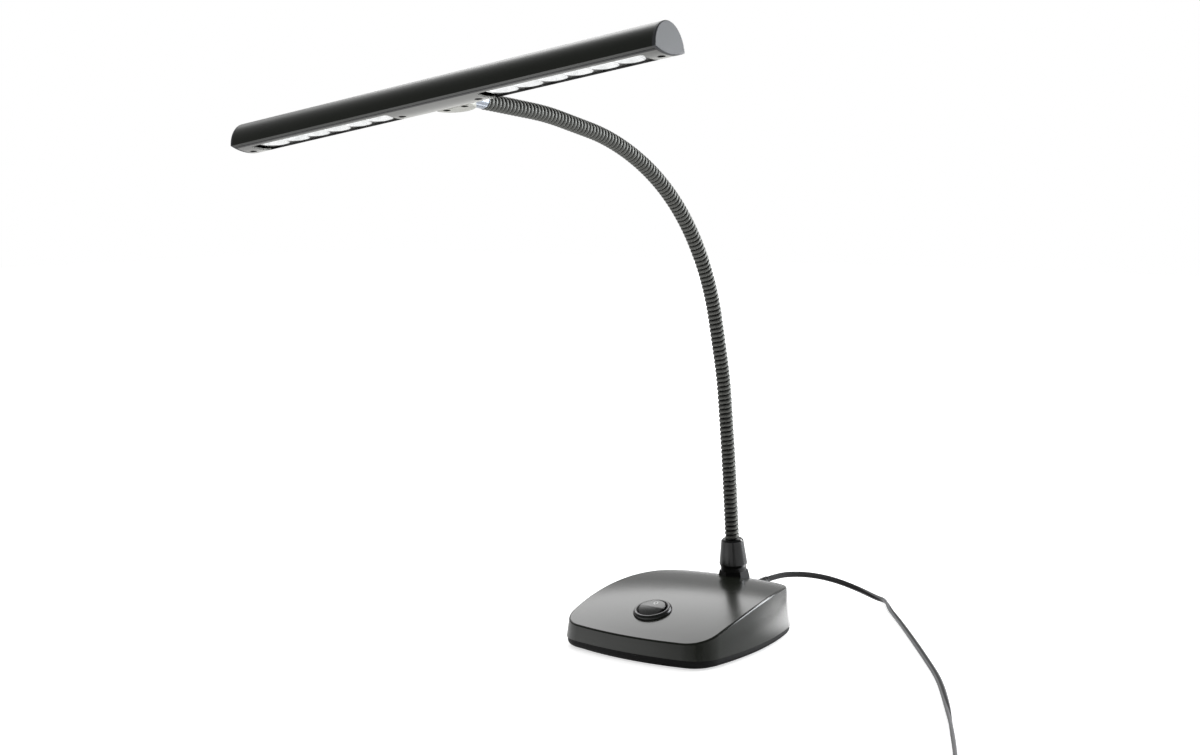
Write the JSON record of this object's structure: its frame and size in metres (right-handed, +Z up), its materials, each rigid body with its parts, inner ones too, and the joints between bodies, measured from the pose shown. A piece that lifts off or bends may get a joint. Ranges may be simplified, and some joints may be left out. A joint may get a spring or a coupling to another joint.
{
  "type": "piano lamp",
  "caption": "Piano lamp: a weighted base with a rocker switch, a flexible neck and a tilting long light bar with two rows of lamps underneath.",
  "frame": {"origin": "middle of the base footprint, on the surface that the lamp stands on", "axes": "+Z up, +X along the light bar to the right as the player sees it, +Y away from the player"},
  "size_m": [0.4041, 0.4268, 0.3455],
  "materials": {
    "base_satin": "satin",
    "tray": "matt",
    "pad": "matt",
    "steel": "zinc plated",
    "ballast": "raw",
    "switch_gloss": "gloss",
    "rocker": "gloss, white ring mark",
    "brass": "plain",
    "lead_rubber": "matt",
    "relief": "matt",
    "cord": "satin",
    "adapter": "fine grain",
    "foot_black": "gloss",
    "neck": "gunmetal, satin",
    "ferrule": "bright",
    "bar_satin": "satin anodised",
    "plate": "satin anodised",
    "dark_screw": "blackened",
    "cap": "satin",
    "board": "solder mask",
    "lamp": "lit",
    "reflector": "gloss",
    "hub": "satin anodised"
  },
  "bodies": {
    "base": {"neck_section_01": "neck", "base_cover": "base_satin", "base_tray": "tray", "base_pad": "pad", "tray_screws": "steel", "ballast_plate": "ballast", "ballast_screws": "steel", "switch_body": "switch_gloss", "switch_terminals": "brass", "inner_supply_lead": "lead_rubber", "inner_lamp_lead": "lead_rubber", "cord_strain_relief": "relief", "supply_cord": "cord", "cord_coil": "cord", "cord_tail": "cord", "adapter_body": "adapter", "adapter_prongs": "brass", "neck_flange": "foot_black", "neck_collar": "foot_black", "neck_nipple": "steel", "neck_washer": "steel", "neck_lock_nut": "steel"},
    "rocker": {"switch_rocker": "rocker"},
    "neck_02": {"neck_section_02": "neck"},
    "neck_03": {"neck_section_03": "neck"},
    "neck_04": {"neck_section_04": "neck"},
    "neck_05": {"neck_section_05": "neck"},
    "neck_06": {"neck_section_06": "neck"},
    "neck_07": {"neck_section_07": "neck"},
    "neck_08": {"neck_section_08": "neck"},
    "neck_09": {"neck_section_09": "neck"},
    "neck_10": {"neck_section_10": "neck"},
    "neck_11": {"neck_section_11": "neck"},
    "neck_12": {"neck_section_12": "neck"},
    "neck_13": {"neck_section_13": "neck"},
    "neck_14": {"neck_section_14": "neck"},
    "neck_15": {"neck_section_15": "neck"},
    "neck_16": {"neck_section_16": "neck", "neck_ferrule": "ferrule", "swivel_stud": "steel", "swivel_clip": "steel"},
    "head": {"head_shell": "bar_satin", "underside_plate": "plate", "plate_screws": "dark_screw", "end_cap_right": "cap", "end_cap_left": "cap", "led_board_right": "board", "led_board_left": "board", "led_chips_right": "lamp", "led_chips_left": "lamp", "reflector_right": "reflector", "reflector_left": "reflector", "head_hub": "hub", "hub_cover": "hub", "hub_screws": "dark_screw", "hub_web_screws": "steel", "head_lead": "lead_rubber"}
  },
  "joints": [
    {"name": "switch_rock", "type": "hinge", "parent": "base", "child": "rocker", "pos_m": [0, -0.03843, 0.02465], "axis": [1, 0, 0], "range_deg": [-16, 0]},
    {"name": "neck_sway", "type": "hinge", "parent": "base", "child": "neck_02", "pos_m": [0, 0.04448, 0.07848], "axis": [0, 0.9954, 0.096], "range_deg": [-9, 9]},
    {"name": "neck_bend_02", "type": "hinge", "parent": "neck_02", "child": "neck_03", "pos_m": [0, 0.04205, 0.10361], "axis": [1, 0, 0], "range_deg": [-1.66, 0.91]},
    {"name": "neck_sway_03", "type": "hinge", "parent": "neck_03", "child": "neck_04", "pos_m": [0, 0.0389, 0.12866], "axis": [0, 0.9922, 0.1248], "range_deg": [-9, 9]},
    {"name": "neck_bend_04", "type": "hinge", "parent": "neck_04", "child": "neck_05", "pos_m": [0, 0.03575, 0.15371], "axis": [1, 0, 0], "range_deg": [-7.35, 4.01]},
    {"name": "neck_sway_05", "type": "hinge", "parent": "neck_05", "child": "neck_06", "pos_m": [0, 0.02942, 0.17816], "axis": [0, 0.9681, 0.2507], "range_deg": [-9, 9]},
    {"name": "neck_lower_bend", "type": "hinge", "parent": "neck_06", "child": "neck_07", "pos_m": [0, 0.02309, 0.2026], "axis": [1, 0, 0], "range_deg": [-10.99, 6]},
    {"name": "neck_bend_07", "type": "hinge", "parent": "neck_07", "child": "neck_08", "pos_m": [0, 0.01222, 0.22539], "axis": [1, 0, 0], "range_deg": [-9.51, 5.19]},
    {"name": "neck_bend_08", "type": "hinge", "parent": "neck_08", "child": "neck_09", "pos_m": [0, -0.00227, 0.24607], "axis": [1, 0, 0], "range_deg": [-10.02, 4.97]},
    {"name": "neck_upper_bend", "type": "hinge", "parent": "neck_09", "child": "neck_10", "pos_m": [0, -0.02013, 0.26392], "axis": [1, 0, 0], "range_deg": [-9.57, 4.75]},
    {"name": "neck_bend_10", "type": "hinge", "parent": "neck_10", "child": "neck_11", "pos_m": [0, -0.04071, 0.27854], "axis": [1, 0, 0], "range_deg": [-8.55, 4.25]},
    {"name": "neck_bend_11", "type": "hinge", "parent": "neck_11", "child": "neck_12", "pos_m": [0, -0.06324, 0.28995], "axis": [1, 0, 0], "range_deg": [-7.17, 3.56]},
    {"name": "neck_bend_12", "type": "hinge", "parent": "neck_12", "child": "neck_13", "pos_m": [0, -0.08702, 0.29845], "axis": [1, 0, 0], "range_deg": [-7.93, 3.94]},
    {"name": "neck_sway_13", "type": "hinge", "parent": "neck_13", "child": "neck_14", "pos_m": [0, -0.11174, 0.30359], "axis": [0, 0.2036, 0.9791], "range_deg": [-9, 9]},
    {"name": "neck_bend_14", "type": "hinge", "parent": "neck_14", "child": "neck_15", "pos_m": [0, -0.13646, 0.30873], "axis": [1, 0, 0], "range_deg": [-5.9, 2.93]},
    {"name": "neck_sway_15", "type": "hinge", "parent": "neck_15", "child": "neck_16", "pos_m": [0, -0.16158, 0.3113], "axis": [0, 0.1019, 0.9948], "range_deg": [-9, 9]},
    {"name": "head_swivel", "type": "hinge", "parent": "neck_16", "child": "head", "pos_m": [0, -0.1867, 0.31388], "axis": [0, -0.9948, 0.1019], "range_deg": [-98.85, 81.15]}
  ],
  "couplings": [
    {"joint": "neck_bend_02", "follows": "neck_lower_bend", "ratio": 0.15124},
    {"joint": "neck_bend_04", "follows": "neck_lower_bend", "ratio": 0.66908},
    {"joint": "neck_bend_07", "follows": "neck_lower_bend", "ratio": 0.86531},
    {"joint": "neck_bend_08", "follows": "neck_upper_bend", "ratio": 1.0463},
    {"joint": "neck_bend_10", "follows": "neck_upper_bend", "ratio": 0.89355},
    {"joint": "neck_bend_11", "follows": "neck_upper_bend", "ratio": 0.74908},
    {"joint": "neck_bend_12", "follows": "neck_upper_bend", "ratio": 0.82849},
    {"joint": "neck_bend_14", "follows": "neck_upper_bend", "ratio": 0.61643},
    {"joint": "neck_sway_03", "follows": "neck_sway", "ratio": 1},
    {"joint": "neck_sway_05", "follows": "neck_sway", "ratio": 1},
    {"joint": "neck_sway_13", "follows": "neck_sway", "ratio": 1},
    {"joint": "neck_sway_15", "follows": "neck_sway", "ratio": 1}
  ]
}
